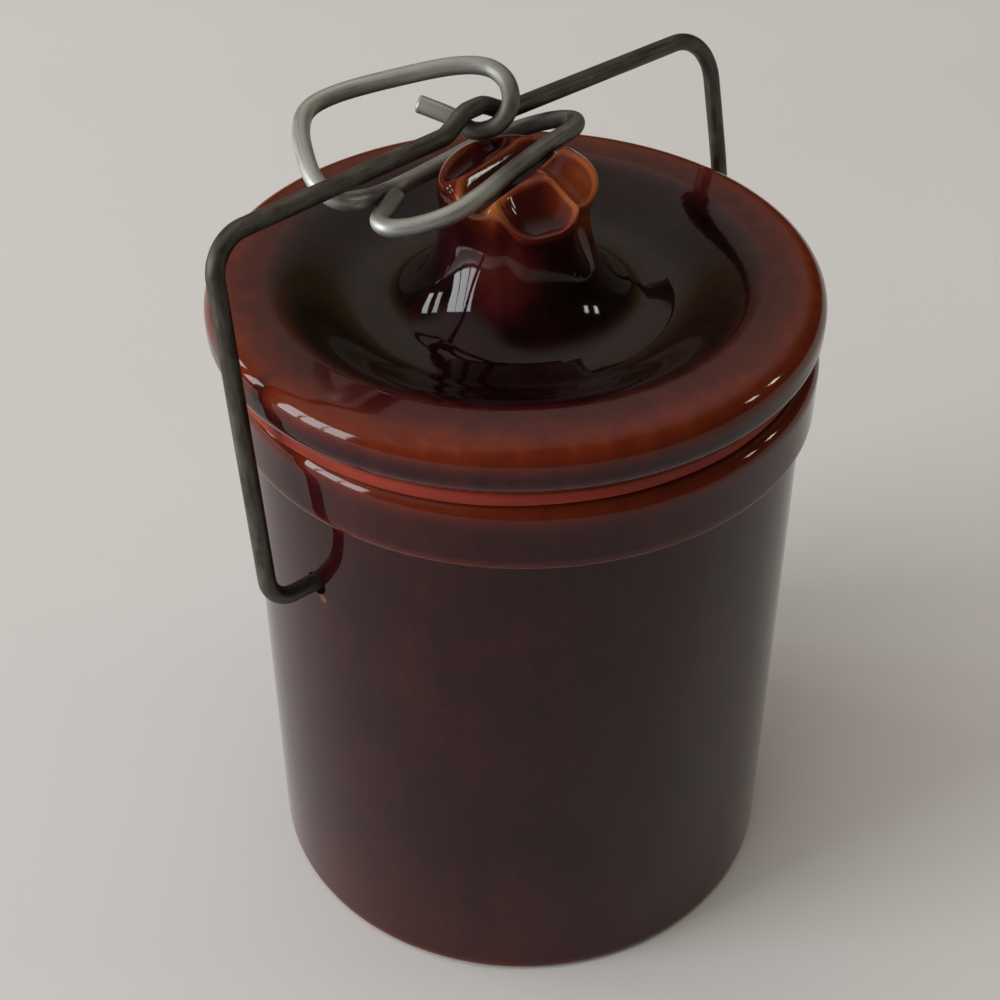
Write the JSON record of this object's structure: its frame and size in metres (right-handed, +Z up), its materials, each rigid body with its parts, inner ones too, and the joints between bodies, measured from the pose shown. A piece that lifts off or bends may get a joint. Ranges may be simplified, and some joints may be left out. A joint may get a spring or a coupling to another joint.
{
  "type": "stoneware crock",
  "caption": "Small brown-glazed stoneware crock, shut with a lobed-knob lid on a rubber gasket that a wire bail and a bent wire clip hold down",
  "frame": {"origin": "centre of the flat base, on the surface that the crock stands on", "axes": "+Z up along the crock's axis; +X along the line through the bail's two pivots, towards the pivot on the picture's right; +Y towards the side that the bail's crossbar leans to"},
  "size_m": [0.1068, 0.092, 0.1385],
  "materials": {
    "glaze": "glossy dark maroon-brown glaze, orange-brown where it runs thin over edges",
    "gasket": "dull brick-red rubber",
    "wire": "dull grey galvanised wire, tarnished"
  },
  "bodies": {
    "root": {"crock": "glaze", "lid": "glaze", "gasket": "gasket", "bail": "wire", "clip": "wire"}
  },
  "joints": []
}
